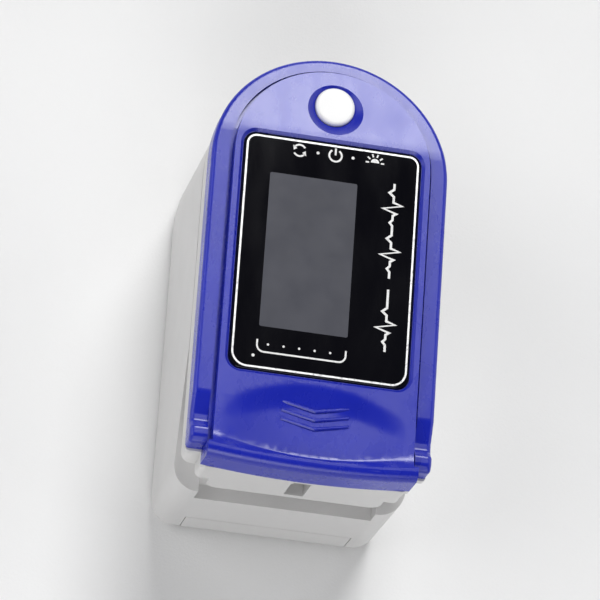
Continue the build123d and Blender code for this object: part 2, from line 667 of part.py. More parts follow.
def contact_positive():
    """Plate that meets the nub of the cell."""
    face = CELL_NOSE + 0.05
    return block(-3.6, 3.6, face, face + 0.4, 3.2, TRAY_BOTTOM - 0.5)


def contact_negative():
    """Plate behind the battery spring."""
    return block(-4.4, 4.4, BAY_TAIL + 0.05, BAY_TAIL + 0.4, 3.2, TRAY_BOTTOM - 0.5)


def battery_spring():
    """Spring that presses on the flat end of the cell."""
    radius, pitch, wire = 2.9, 0.95, 0.6
    start = BAY_TAIL + 0.4 + 0.33
    line = Helix(pitch=pitch, height=CELL_NOSE - CELL_LENGTH - start - 0.35, radius=radius)
    section = Plane(origin=line @ 0, z_dir=line % 0) * Circle(wire / 2)
    return Pos(0, start, CELL_AXIS_Z) * Rot(-90, 0, 0) * sweep(section, path=line)


def torsion_spring():
    """Closing spring on the hinge pin: one leg rests on the lower tray and one lifts the upper shell."""
    spare = 180 - SPRING_UPPER_ANGLE - SPRING_LOWER_ANGLE
    height = SPRING_PITCH * (SPRING_TURNS + spare / 360)
    coil = Helix(pitch=SPRING_PITCH, height=height, radius=SPRING_RADIUS)
    lower_leg = Line(coil @ 0 - (coil % 0) * SPRING_LOWER_LEG, coil @ 0)
    upper_leg = Line(coil @ 1, coil @ 1 + (coil % 1) * SPRING_UPPER_LEG)
    line = Wire([lower_leg, coil, upper_leg])
    section = Plane(origin=line @ 0, z_dir=line % 0) * Circle(SPRING_WIRE / 2)
    spring = sweep(section, path=line)
    return Pos(SPRING_X, HINGE_Y, HINGE_Z) * Rot(0, 90, 0) * Rot(0, 0, SPRING_LOWER_ANGLE) * spring


def hinge_pin():
    """Steel pin through both jaws."""
    pin = axle(HINGE_Y, HINGE_Z, PIN_RADIUS, -CORE_HALF, CORE_HALF)
    return chamfer(pin.edges().filter_by(GeomType.CIRCLE), 0.2)


# ---------------------------------------------------------------- files

def group(pieces):
    """Separate solids that share one node."""
    return Compound(children=[piece if isinstance(piece, Solid) else piece.solid() for piece in pieces])


right_spring = torsion_spring()

PARTS = {
    "top_cover": top_cover(),
    "display_window": display_window(),
    "window_tape": window_tape(),
    "display_glass": display_glass(),
    "display_flex": display_flex(),
    "display_foam": display_foam(),
    "power_button": power_button(),
    "switch_plunger": switch_plunger(),
    "power_switch": power_switch(),
    "main_board": main_board(),
    "board_chips": group(board_chips()),
    "board_inductor": board_inductor(),
    "board_crystal": board_crystal(),
    "board_screws": screws(BOARD_SCREWS, BOARD_BOTTOM, PLATEAU_CEILING + SCREW_BITE),
    "upper_shell": upper_shell(),
    "upper_shell_screws": screws(COVER_SCREWS, UPPER_FLOOR, RAIL_CEILING + SCREW_BITE),
    "upper_pad": finger_pad(UPPER_FLOOR - PAD_THICK, UPPER_FLOOR - PAD_THICK + HOLLOW_SINK - HOLLOW_RADIUS),
    "led_board": optical_board(UPPER_FLOOR_TOP, UPPER_FLOOR_TOP + 0.6),
    "led_emitter": optical_plate(UPPER_FLOOR + 0.1, UPPER_FLOOR_TOP, 0.6),
    "emitter_window": optical_plate(UPPER_FLOOR - 0.7, UPPER_FLOOR - 0.1, 0.1),
    "lower_housing": lower_housing(),
    "lower_tray": lower_tray(),
    "lower_tray_screws": screws(TRAY_SCREWS, TRAY_DECK - 1.0, TRAY_SCREW_TIP),
    "lower_pad": finger_pad(TRAY_FLOOR, TRAY_FLOOR + PAD_THICK - HOLLOW_SINK + HOLLOW_RADIUS),
    "sensor_window": optical_plate(TRAY_FLOOR + 0.1, TRAY_FLOOR + 0.7, 0.1),
    "photodiode": optical_plate(TRAY_BOTTOM - 0.1, TRAY_FLOOR - 0.2, 0.6),
    "sensor_board": optical_board(TRAY_BOTTOM - 0.5, TRAY_BOTTOM - 0.1),
    "battery_can": battery_can(),
    "battery_label": battery_label(),
    "contact_positive": contact_positive(),
    "contact_negative": contact_negative(),
    "battery_spring": battery_spring(),
    "battery_door": battery_door(),
    "hinge_pin": hinge_pin(),
    "torsion_spring_right": right_spring,
    "torsion_spring_left": mirror(right_spring, Plane.YZ),
}

os.makedirs("parts", exist_ok=True)
for name, shape in PARTS.items():
    export_step(shape, f"parts/{name}.step")
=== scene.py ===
import json
from math import copysign, cos, pi, radians, sin, sqrt, tan

import bmesh
import bpy
from mathutils import Matrix, Vector


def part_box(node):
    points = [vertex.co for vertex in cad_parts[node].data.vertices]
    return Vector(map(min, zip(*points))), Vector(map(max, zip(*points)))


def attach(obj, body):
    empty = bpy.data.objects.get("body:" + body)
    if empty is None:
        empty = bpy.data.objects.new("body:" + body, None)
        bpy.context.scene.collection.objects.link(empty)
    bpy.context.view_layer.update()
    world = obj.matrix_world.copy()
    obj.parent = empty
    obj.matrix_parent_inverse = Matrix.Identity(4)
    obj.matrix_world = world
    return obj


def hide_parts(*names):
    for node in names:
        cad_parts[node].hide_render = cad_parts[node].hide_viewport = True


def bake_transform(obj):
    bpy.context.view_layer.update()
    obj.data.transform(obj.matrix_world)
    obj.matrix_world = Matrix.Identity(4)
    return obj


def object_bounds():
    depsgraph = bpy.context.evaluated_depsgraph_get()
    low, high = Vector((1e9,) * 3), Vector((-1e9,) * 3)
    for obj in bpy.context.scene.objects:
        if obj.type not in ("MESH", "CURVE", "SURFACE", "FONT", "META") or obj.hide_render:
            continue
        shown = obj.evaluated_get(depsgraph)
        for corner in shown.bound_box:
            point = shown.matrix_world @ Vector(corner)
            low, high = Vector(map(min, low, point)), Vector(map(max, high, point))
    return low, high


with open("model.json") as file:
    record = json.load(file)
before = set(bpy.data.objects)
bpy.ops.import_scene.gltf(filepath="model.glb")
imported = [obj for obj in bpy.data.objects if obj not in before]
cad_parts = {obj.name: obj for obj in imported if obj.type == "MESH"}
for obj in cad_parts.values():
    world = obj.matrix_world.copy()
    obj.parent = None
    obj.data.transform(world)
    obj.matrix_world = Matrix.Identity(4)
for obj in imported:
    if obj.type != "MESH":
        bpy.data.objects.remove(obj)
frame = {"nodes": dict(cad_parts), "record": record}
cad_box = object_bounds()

MM = 0.001
WAVE_SCALE = 0.314  # scale of a wave texture whose bands are one unit apart


# ---------------------------------------------------------------- shader building

class Paint:
    """One procedural material: a Principled shader with textures laid out in the object's own metres."""

    def __init__(self, name, **sockets):
        self.material = bpy.data.materials.new(name)
        self.material.use_nodes = True
        self.tree = self.material.node_tree
        self.shader = self.tree.nodes["Principled BSDF"]
        for socket, value in sockets.items():
            self.shader.inputs[socket.replace("_", " ")].default_value = value
        self.place = self.tree.nodes.new("ShaderNodeTexCoord").outputs["Object"]
        self.heights = None

    def node(self, kind, **settings):
        made = self.tree.nodes.new(kind)
        for key, value in settings.items():
            setattr(made, key, value)
        return made

    def link(self, output, target):
        self.tree.links.new(output, target)

    def stretched(self, x, y, z):
        mapping = self.node("ShaderNodeMapping")
        mapping.inputs["Scale"].default_value = (x, y, z)
        self.link(self.place, mapping.inputs["Vector"])
        return mapping.outputs["Vector"]

    def noise(self, size, detail=3.0, rough=0.5, place=None):
        """Cloudy value with blobs about size metres across."""
        made = self.node("ShaderNodeTexNoise")
        made.inputs["Scale"].default_value = 1.0 / size
        made.inputs["Detail"].default_value = detail
        made.inputs["Roughness"].default_value = rough
        self.link(place or self.place, made.inputs["Vector"])
        return made.outputs["Fac"]

    def cells(self, size):
        """Distance to the middle of the nearest of a scatter of cells."""
        made = self.node("ShaderNodeTexVoronoi")
        made.inputs["Scale"].default_value = 1.0 / size
        self.link(self.place, made.inputs["Vector"])
        return made.outputs["Distance"]

    def bands(self, size, axis):
        """Evenly spaced bands along one axis."""
        made = self.node("ShaderNodeTexWave", bands_direction=axis)
        made.inputs["Scale"].default_value = WAVE_SCALE / size
        self.link(self.place, made.inputs["Vector"])
        return made.outputs["Fac"]

    def remap(self, value, low, high, to_low, to_high):
        made = self.node("ShaderNodeMapRange")
        for socket, number in zip(("From Min", "From Max", "To Min", "To Max"), (low, high, to_low, to_high)):
            made.inputs[socket].default_value = number
        self.link(value, made.inputs["Value"])
        return made.outputs["Result"]

    def math(self, operation, first, second):
        made = self.node("ShaderNodeMath", operation=operation)
        for index, item in enumerate((first, second)):
            if isinstance(item, (int, float)):
                made.inputs[index].default_value = item
            else:
                self.link(item, made.inputs[index])
        return made.outputs["Value"]

    def axis_value(self, axis):
        split = self.node("ShaderNodeSeparateXYZ")
        self.link(self.place, split.inputs["Vector"])
        return split.outputs[axis]

    def colours(self, value, stops, target=None, interpolation="LINEAR"):
        """Colour ramp; stops are (position, (r, g, b))."""
        made = self.node("ShaderNodeValToRGB")
        ramp = made.color_ramp
        ramp.interpolation = interpolation
        while len(ramp.elements) < len(stops):
            ramp.elements.new(0.5)
        for element, (position, colour) in zip(ramp.elements, stops):
            element.position = position
            element.color = (*colour, 1)
        self.link(value, made.inputs["Fac"])
        if target:
            self.link(made.outputs["Color"], self.shader.inputs[target])
        return made.outputs["Color"]

    def mix(self, factor, first, second, target=None):
        made = self.node("ShaderNodeMix", data_type="RGBA")
        self.link(factor, made.inputs["Factor"])
        for socket, item in ((made.inputs[6], first), (made.inputs[7], second)):
            if isinstance(item, tuple):
                socket.default_value = (*item, 1)
            else:
                self.link(item, socket)
        if target:
            self.link(made.outputs[2], self.shader.inputs[target])
        return made.outputs[2]

    def rough(self, value, low, high):
        """Roughness that follows a cloudy value."""
        self.link(self.remap(value, 0.3, 0.7, low, high), self.shader.inputs["Roughness"])

    def relief(self, value, depth):
        """Adds a height, depth metres from its lowest to its highest point."""
        bump = self.node("ShaderNodeBump")
        bump.inputs["Distance"].default_value = depth
        self.link(value, bump.inputs["Height"])
        if self.heights:
            self.link(self.heights, bump.inputs["Normal"])
        self.heights = bump.outputs["Normal"]
        self.link(self.heights, self.shader.inputs["Normal"])


def shade(colour, factor):
    return tuple(channel * factor for channel in colour)


def moulded(name, colour, rough, grain, depth, tint=0.06, **sockets):
    """Moulded plastic: spark-eroded grain, faint flow clouding, handling marks and hairline scuffs."""
    paint = Paint(name, **sockets)
    cloud = paint.noise(9 * MM, 4.0, 0.55)
    base = paint.colours(cloud, [(0.3, shade(colour, 1 - tint)), (0.7, shade(colour, 1 + tint))])
    speck = paint.remap(paint.noise(grain * 3.5, 1.0), 0.62, 0.78, 0.0, 0.25)
    paint.mix(speck, base, shade(colour, 1 - 2 * tint), "Base Color")
    smudge = paint.noise(4 * MM, 5.0, 0.6, paint.stretched(1.0, 0.55, 1.0))
    paint.rough(smudge, rough - 0.035, rough + 0.05)
    paint.relief(paint.noise(grain, 2.0, 0.6), depth)
    scuff = paint.noise(0.35 * MM, 2.0, 0.5, paint.stretched(1.0, 0.04, 1.0))
    paint.relief(paint.remap(scuff, 0.62, 0.8, 1.0, 0.0), depth * 0.25)
    return paint


def window_paint():
    """Polished black window: printed on its back, with faint wipe marks and specks of dust."""
    paint = Paint("window_black", IOR=1.49, Specular_IOR_Level=0.5)
    dust = paint.remap(paint.cells(1.7 * MM), 0.03, 0.055, 1.0, 0.0)
    rare = paint.remap(paint.noise(6 * MM), 0.6, 0.66, 0.0, 0.35)
    speck = paint.math("MULTIPLY", dust, rare)
    paint.mix(speck, (0.0016, 0.0016, 0.003), (0.03, 0.03, 0.04), "Base Color")
    paint.rough(paint.noise(5 * MM, 4.0, 0.6, paint.stretched(1.0, 0.3, 1.0)), 0.05, 0.11)
    paint.relief(paint.noise(14 * MM, 1.0), 0.006 * MM)
    return paint


def screen_paint():
    """Unlit display: dark grey emulsion under the window, with the fine lines of its pixel rows."""
    paint = Paint("display_screen", Coat_Weight=1.0, Coat_Roughness=0.06, IOR=1.45)
    rows = paint.bands(0.33 * MM, "Y")
    columns = paint.bands(0.33 * MM, "X")
    grid = paint.math("MULTIPLY", rows, columns)
    cloud = paint.noise(5 * MM, 3.0)
    base = paint.colours(cloud, [(0.3, (0.024, 0.026, 0.040)), (0.7, (0.031, 0.033, 0.049))])
    paint.mix(paint.remap(grid, 0.0, 1.0, 0.0, 0.3), base, (0.024, 0.026, 0.038), "Base Color")
    paint.rough(paint.noise(3 * MM, 3.0), 0.42, 0.52)
    return paint


def print_paint(name, colour):
    """Silk-screened ink: slightly uneven cover and a dry surface."""
    paint = Paint(name)
    cover = paint.noise(0.35 * MM, 3.0, 0.7)
    paint.colours(cover, [(0.32, shade(colour, 0.72)), (0.5, colour)], "Base Color")
    paint.rough(paint.noise(0.8 * MM), 0.34, 0.5)
    paint.relief(paint.noise(0.12 * MM, 2.0), 0.004 * MM)
    return paint


def silver_paint():
    """Hot-foil line: bright, broken here and there."""
    paint = Paint("silver_line", Metallic=0.55)
    wear = paint.noise(0.5 * MM, 4.0, 0.75)
    paint.colours(wear, [(0.34, (0.30, 0.30, 0.31)), (0.46, (0.70, 0.70, 0.70))], "Base Color")
    paint.rough(wear, 0.3, 0.42)
    return paint


def metal(name, colour, rough, brush):
    """Drawn or plated metal with fine lines along X and slight tarnish."""
    paint = Paint(name, Metallic=1.0)
    lines = paint.noise(brush, 2.0, 0.6, paint.stretched(0.05, 1, 1))
    tarnish = paint.noise(2.5 * MM, 4.0, 0.6)
    base = paint.colours(tarnish, [(0.3, shade(colour, 0.82)), (0.65, colour)])
    paint.mix(paint.remap(lines, 0.3, 0.7, 0.0, 0.22), base, shade(colour, 0.6), "Base Color")
    paint.rough(lines, rough - 0.06, rough + 0.1)
    paint.relief(lines, 0.002 * MM)
    return paint


def silicone_paint():
    """Soft silicone: dull bloom, moulded stipple and lint."""
    paint = Paint("silicone_grey", Sheen_Weight=0.25, Sheen_Roughness=0.5, Subsurface_Weight=0.04)
    paint.shader.inputs["Subsurface Radius"].default_value = (0.4 * MM, 0.4 * MM, 0.4 * MM)
    bloom = paint.noise(3 * MM, 4.0, 0.6)
    base = paint.colours(bloom, [(0.3, (0.135, 0.137, 0.145)), (0.7, (0.175, 0.178, 0.188))])
    lint = paint.remap(paint.cells(0.9 * MM), 0.02, 0.045, 0.5, 0.0)
    paint.mix(lint, base, (0.34, 0.34, 0.35), "Base Color")
    paint.rough(bloom, 0.55, 0.7)
    paint.relief(paint.noise(0.16 * MM, 2.0), 0.02 * MM)
    return paint


def board_paint():
    """Solder mask over copper tracks, with tinned pads."""
    paint = Paint("circuit_board")
    spacing = 0.55 * MM
    area = paint.remap(paint.noise(3.2 * MM, 0.0), 0.49, 0.51, 0.0, 1.0)
    edges = [(0.55, (0, 0, 0)), (0.6, (1, 1, 1))]
    across, along = (paint.colours(paint.bands(spacing, axis), edges) for axis in ("X", "Y"))
    tracks = paint.mix(area, across, along)
    mask = paint.mix(tracks, (0.004, 0.062, 0.03), (0.012, 0.13, 0.055))
    pad = paint.remap(paint.cells(2.4 * MM), 0.10, 0.13, 1.0, 0.0)
    paint.mix(pad, mask, (0.62, 0.6, 0.55), "Base Color")
    paint.link(pad, paint.shader.inputs["Metallic"])
    paint.rough(paint.noise(1.5 * MM), 0.25, 0.4)
    paint.relief(tracks, 0.02 * MM)
    return paint


def chip_paint(name, colour, rough):
    """Moulded package with fine filler grain."""
    paint = Paint(name)
    grain = paint.noise(0.09 * MM, 2.0)
    paint.colours(grain, [(0.3, shade(colour, 0.75)), (0.7, shade(colour, 1.3))], "Base Color")
    paint.rough(paint.noise(0.6 * MM), rough, rough + 0.12)
    paint.relief(paint.noise(0.07 * MM, 2.0), 0.006 * MM)
    return paint


def foam_paint(name, colour):
    """Cellular foam, with painted shade in its pores: each pore is darker towards its middle, where the
    relief dents it.
    """
    paint = Paint(name, Roughness=0.9)
    pores = paint.cells(0.22 * MM)
    # painted shade: the colour darkens towards each pore's middle, the bottom of the dent that the relief
    # below makes
    paint.colours(pores, [(0.1, shade(colour, 0.35)), (0.45, shade(colour, 1.4))], "Base Color")
    paint.relief(pores, 0.05 * MM)
    return paint


def film_paint():
    """Amber ribbon film with copper lines under it."""
    paint = Paint("flex_film", Coat_Weight=0.4, Coat_Roughness=0.2)
    lines = paint.bands(0.3 * MM, "Y")
    paint.colours(lines, [(0.42, (0.40, 0.17, 0.02)), (0.56, (0.66, 0.33, 0.10))], "Base Color")
    paint.rough(paint.noise(1.2 * MM), 0.28, 0.4)
    paint.relief(lines, 0.012 * MM)
    return paint


def glass_paint(name, colour, cloud_colour, rough, transmission, grid):
    """Clear moulded or display glass with faint flow and fine lines."""
    paint = Paint(name, Transmission_Weight=transmission, IOR=1.5)
    cloud = paint.noise(1.6 * MM, 3.0)
    paint.colours(cloud, [(0.35, colour), (0.65, cloud_colour)], "Base Color")
    paint.rough(cloud, rough, rough + 0.06)
    paint.relief(paint.bands(grid, "X"), 0.002 * MM)
    return paint


def label_paint():
    """Printed sleeve of the cell: dark body, a copper end band, silver rings and a fine diamond pattern."""
    paint = Paint("battery_label", Coat_Weight=0.6, Coat_Roughness=0.12)
    low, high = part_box("battery_label")
    length = paint.remap(paint.axis_value("Y"), low.y, high.y, 0.0, 1.0)
    bands = paint.colours(length, [
        (0.0, (0.02, 0.02, 0.024)), (0.60, (0.45, 0.45, 0.46)), (0.618, (0.012, 0.03, 0.20)),
        (0.70, (0.45, 0.45, 0.46)), (0.718, (0.46, 0.21, 0.075)), (0.97, (0.02, 0.02, 0.024)),
    ], interpolation="CONSTANT")
    rings = paint.bands(0.9 * MM, "Y")
    turns = paint.bands(0.9 * MM, "Z")
    lattice = paint.remap(paint.math("MULTIPLY", rings, turns), 0.55, 0.75, 0.0, 0.35)
    paint.mix(lattice, bands, (0.16, 0.17, 0.2), "Base Color")
    paint.rough(paint.noise(2 * MM, 3.0), 0.2, 0.32)
    paint.relief(paint.noise(0.3 * MM), 0.003 * MM)
    return paint


def floor_paint():
    """Pale matt card."""
    paint = Paint("pale_floor", Specular_IOR_Level=0.2)
    cloud = paint.noise(40 * MM, 3.0)
    paint.colours(cloud, [(0.3, (0.79, 0.79, 0.785)), (0.7, (0.82, 0.82, 0.815))], "Base Color")
    paint.rough(paint.noise(8 * MM), 0.75, 0.85)
    paint.relief(paint.noise(0.35 * MM, 3.0), 0.03 * MM)
    return paint


PAINTS = {
    "blue_plastic": moulded("blue_plastic", (0.008, 0.017, 0.38), 0.27, 0.10 * MM, 0.006 * MM, IOR=1.54),
    "grey_plastic": moulded("grey_plastic", (0.60, 0.595, 0.59), 0.42, 0.13 * MM, 0.009 * MM, 0.02, IOR=1.5),
    "white_plastic": moulded(
        "white_plastic", (0.86, 0.86, 0.85), 0.34, 0.10 * MM, 0.004 * MM, 0.015, IOR=1.5),
    "window_black": window_paint(),
    "black_tape": foam_paint("black_tape", (0.02, 0.02, 0.021)),
    "black_foam": foam_paint("black_foam", (0.03, 0.03, 0.031)),
    "display_glass": glass_paint(
        "display_glass", (0.08, 0.08, 0.10), (0.11, 0.11, 0.135), 0.05, 0.25, 0.3 * MM),
    "flex_film": film_paint(),
    "black_plastic": moulded("black_plastic", (0.02, 0.02, 0.022), 0.4, 0.1 * MM, 0.006 * MM),
    "nickel_steel": metal("nickel_steel", (0.70, 0.67, 0.62), 0.26, 0.12 * MM),
    "screw_steel": metal("screw_steel", (0.52, 0.52, 0.54), 0.34, 0.08 * MM),
    "spring_steel": metal("spring_steel", (0.46, 0.46, 0.48), 0.3, 0.06 * MM),
    "circuit_board": board_paint(),
    "chip_black": chip_paint("chip_black", (0.022, 0.022, 0.024), 0.42),
    "ferrite": chip_paint("ferrite", (0.07, 0.07, 0.072), 0.55),
    "silicone_grey": silicone_paint(),
    "led_resin": glass_paint("led_resin", (0.78, 0.73, 0.62), (0.85, 0.81, 0.70), 0.14, 0.2, 0.5 * MM),
    "diode_resin": glass_paint("diode_resin", (0.04, 0.02, 0.05), (0.06, 0.035, 0.075), 0.1, 0.1, 0.5 * MM),
    "clear_window": glass_paint("clear_window", (0.86, 0.70, 0.70), (0.92, 0.80, 0.80), 0.08, 0.8, 0.6 * MM),
    "battery_label": label_paint(),
}
SCREEN = screen_paint()
INK = print_paint("white_ink", (0.80, 0.80, 0.79))
SILVER = silver_paint()


# ---------------------------------------------------------------- mesh building

def finish_mesh(name, bm, paint, body):
    """Turns bm into an object with the paint's material, which rides on a body where one is given."""
    bmesh.ops.recalc_face_normals(bm, faces=bm.faces)
    mesh = bpy.data.meshes.new(name)
    bm.to_mesh(mesh)
    bm.free()
    mesh.materials.append(paint.material)
    piece = bpy.data.objects.new(name, mesh)
    bpy.context.scene.collection.objects.link(piece)
    if body:
        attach(piece, body)
    return piece


def smooth(piece, angle):
    """Smooth shading, with edges steeper than angle kept sharp."""
    for polygon in piece.data.polygons:
        polygon.use_smooth = True
    piece.data.set_sharp_from_angle(angle=radians(angle))


def stroke(bm, path, width, bottom, top, closed=False):
    """Line of ink along a path of (x, y) points."""
    points = [Vector(p) for p in path]
    count = len(points)
    rows = []
    for i, point in enumerate(points):
        before = points[i - 1] if closed or i else point
        after = points[(i + 1) % count] if closed or i + 1 < count else point
        into = (point - before).normalized() if point != before else (after - point).normalized()
        out = (after - point).normalized() if after != point else into
        side = Vector((-(into + out).y, (into + out).x)).normalized()
        reach = width / 2 / max(0.5, side.dot(Vector((-out.y, out.x))))
        left, right = point + side * reach, point - side * reach
        section = ((left, top), (right, top), (right, bottom), (left, bottom))
        rows.append([bm.verts.new((p.x, p.y, z)) for p, z in section])
    for i in range(count if closed else count - 1):
        here, there = rows[i], rows[(i + 1) % count]
        for k in range(4):
            bm.faces.new((here[k], here[(k + 1) % 4], there[(k + 1) % 4], there[k]))
    if not closed:
        bm.faces.new(rows[0])
        bm.faces.new(rows[-1])


def patch(bm, outline, bottom, top):
    """Solid patch of ink inside a convex outline."""
    upper = [bm.verts.new((x, y, top)) for x, y in outline]
    lower = [bm.verts.new((x, y, bottom)) for x, y in outline]
    bm.faces.new(upper)
    bm.faces.new(lower[::-1])
    for i in range(len(outline)):
        j = (i + 1) % len(outline)
        bm.faces.new((upper[i], lower[i], lower[j], upper[j]))


def arc(x, y, radius, start, end, steps=24):
    """Points on an arc, angles in degrees."""
    turns = [radians(start + (end - start) * i / steps) for i in range(steps + 1)]
    return [(x + radius * cos(t), y + radius * sin(t)) for t in turns]


def dot(bm, x, y, radius, bottom, top):
    """Round spot of ink."""
    patch(bm, arc(x, y, radius, 0, 345, 23), bottom, top)


def rounded(x0, x1, y0, y1, front_radius, rear_radius):
    """Outline of a rectangle with rounded corners."""
    corners = [
        (x1 - front_radius, y1 - front_radius, front_radius, 0),
        (x0 + front_radius, y1 - front_radius, front_radius, 90),
        (x0 + rear_radius, y0 + rear_radius, rear_radius, 180),
        (x1 - rear_radius, y0 + rear_radius, rear_radius, 270),
    ]
    return [p for x, y, r, start in corners for p in arc(x, y, r, start, start + 90, 12)]


# ---------------------------------------------------------------- prints on the window

def window_prints():
    """Bright border line, key signs, scale under the screen and a pulse trace in the right column."""
    low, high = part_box("display_window")
    top = high.z + 0.02 * MM
    bottom = high.z - 0.03 * MM
    ink_depth = (bottom, top)

    bm = bmesh.new()
    inset = 0.42 * MM
    border = rounded(low.x + inset, high.x - inset, low.y + inset, high.y - inset, 1.2 * MM, 1.9 * MM)
    stroke(bm, border, 0.24 * MM, *ink_depth, closed=True)
    finish_mesh("window_border_line", bm, SILVER, "upper_jaw")

    bm = bmesh.new()
    front = 14.4 * MM
    line = 0.24 * MM
    turn_x = -4.4 * MM
    for start in (30, 210):
        stroke(bm, arc(turn_x, front, 0.78 * MM, start, start + 118), line, *ink_depth)
        tip = radians(start + 150)
        base = radians(start + 112)
        head = ((0.78 * MM, tip), (1.12 * MM, base), (0.44 * MM, base))
        patch(bm, [(turn_x + r * cos(t), front + r * sin(t)) for r, t in head], *ink_depth)
    power_x = 0.3 * MM
    stroke(bm, arc(power_x, front, 0.82 * MM, 125, 415), line, *ink_depth)
    stroke(bm, [(power_x, front + 0.05 * MM), (power_x, front + 1.0 * MM)], line, *ink_depth)
    for x in (-2.0, 2.6):
        dot(bm, x * MM, front + 0.02 * MM, 0.2 * MM, *ink_depth)
    sun_x, sun_y = 5.5 * MM, front + 0.1 * MM
    patch(bm, arc(sun_x, sun_y - 0.3 * MM, 0.55 * MM, 0, 180, 16), *ink_depth)
    for degrees in (0, 36, 72, 108, 144, 180):
        t = radians(degrees)
        near, far = 0.78 * MM, 1.22 * MM
        ray = [(sun_x + r * cos(t), sun_y - 0.3 * MM + r * sin(t)) for r in (near, far)]
        stroke(bm, ray, 0.2 * MM, *ink_depth)

    left, right, rear = -8.1 * MM, 3.3 * MM, -13.4 * MM
    corner = 0.9 * MM
    bracket = [(left, -11.8 * MM), *arc(left + corner, rear + corner, corner, 180, 270, 10)]
    bracket += [*arc(right - corner, rear + corner, corner, 270, 360, 10), (right, -11.8 * MM)]
    stroke(bm, bracket, 0.22 * MM, *ink_depth)
    for i in range(5):
        dot(bm, (-6.7 + 2.0 * i) * MM, -12.35 * MM, 0.15 * MM, *ink_depth)
    dot(bm, -8.5 * MM, -14.0 * MM, 0.2 * MM, *ink_depth)

    column = 8.25 * MM
    beat = [(0.0, 0.0), (0.9, 0.0), (1.3, 0.35), (1.7, 0.0), (2.3, 0.0), (2.6, -0.45)]
    beat += [(3.15, 1.35), (3.75, -1.15), (4.1, 0.0), (4.9, 0.0), (5.4, 0.6), (5.9, 0.0)]
    beat_step = 6.3
    for start, length, beats in ((-11.2, 8.4, 1), (-1.3, 13.0, 2)):
        trace = []
        for index in range(beats):
            trace += [(column - h * MM, (start + beat_step * index + d) * MM) for d, h in beat]
        trace.append((column, (start + length) * MM))
        stroke(bm, trace, 0.3 * MM, *ink_depth)
    finish_mesh("window_signs", bm, INK, "upper_jaw")


def screen():
    """Grey screen area that shows through the clear part of the window."""
    low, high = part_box("display_window")
    bm = bmesh.new()
    outline = rounded(-8.0 * MM, 3.4 * MM, -10.0 * MM, 10.9 * MM, 0.25 * MM, 0.25 * MM)
    patch(bm, outline, high.z - 0.03 * MM, high.z + 0.012 * MM)
    finish_mesh("screen_area", bm, SCREEN, "upper_jaw")


# ---------------------------------------------------------------- finger pads

def pad_lines(low, high, step, fixed):
    """Grid lines from low to high, closer together at the ends, with some lines at fixed places."""
    lines = {low, high, *fixed}
    for edge in (0.12, 0.3, 0.55, 0.9, 1.35):
        lines |= {low + edge * MM, high - edge * MM}
    count = int((high - low) / step)
    for i in range(1, count):
        value = low + (high - low) * i / count
        if min(abs(value - other) for other in lines) > step * 0.4:
            lines.add(value)
    return sorted(lines)


